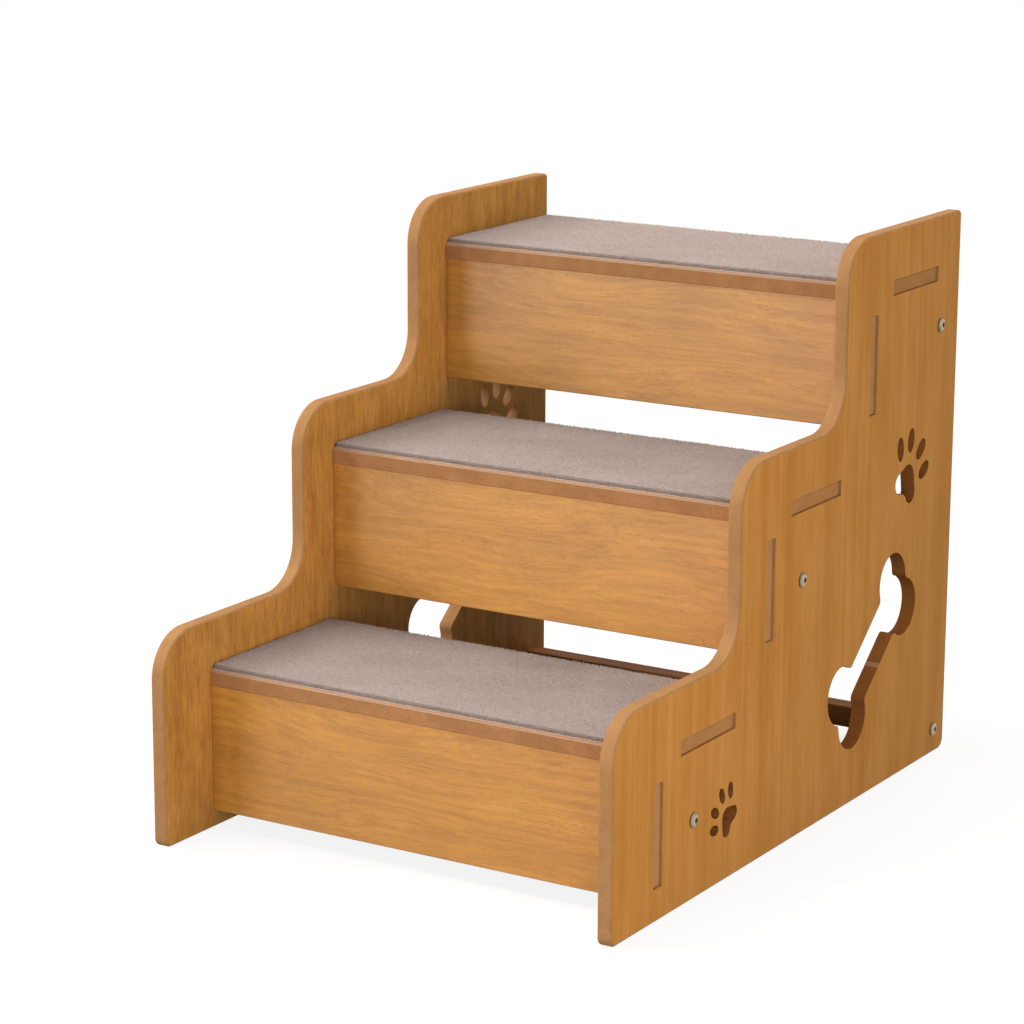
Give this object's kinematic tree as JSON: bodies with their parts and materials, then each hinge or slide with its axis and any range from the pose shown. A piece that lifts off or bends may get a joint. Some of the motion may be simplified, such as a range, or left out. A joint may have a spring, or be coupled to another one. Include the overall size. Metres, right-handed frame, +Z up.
{
  "type": "pet stairs",
  "caption": "Stepped wooden pet stairs with curved side panels, carpeted treads, and paw and bone cut-outs in the sides.",
  "frame": {"origin": "on the floor, midway between the side panels and midway between the front and rear edges", "axes": "+Z up; +Y from the lowest step's front towards the high rear end, the way an animal climbs; +X to the right seen from the front"},
  "size_m": [0.4052, 0.55, 0.45],
  "materials": {
    "laminate": "satin oak-look laminate over fibreboard, bare tan routed edges",
    "rail_wood": "planed solid wood, unfinished",
    "carpet": "short cut-pile carpet, warm grey",
    "bolt_metal": "nickel-plated steel, satin",
    "insert_metal": "yellowish zinc-plated steel"
  },
  "bodies": {
    "root": {"left_side_panel": "laminate", "right_side_panel": "laminate", "lower_tread": "laminate", "middle_tread": "laminate", "upper_tread": "laminate", "lower_riser": "laminate", "middle_riser": "laminate", "upper_riser": "laminate", "lower_carpet_pad": "carpet", "middle_carpet_pad": "carpet", "upper_carpet_pad": "carpet", "lower_front_rail": "rail_wood", "middle_rail": "rail_wood", "upper_rear_rail": "rail_wood", "lower_rear_rail": "rail_wood", "left_bolts": "bolt_metal", "right_bolts": "bolt_metal", "left_insert_nuts": "insert_metal", "right_insert_nuts": "insert_metal"}
  },
  "joints": []
}
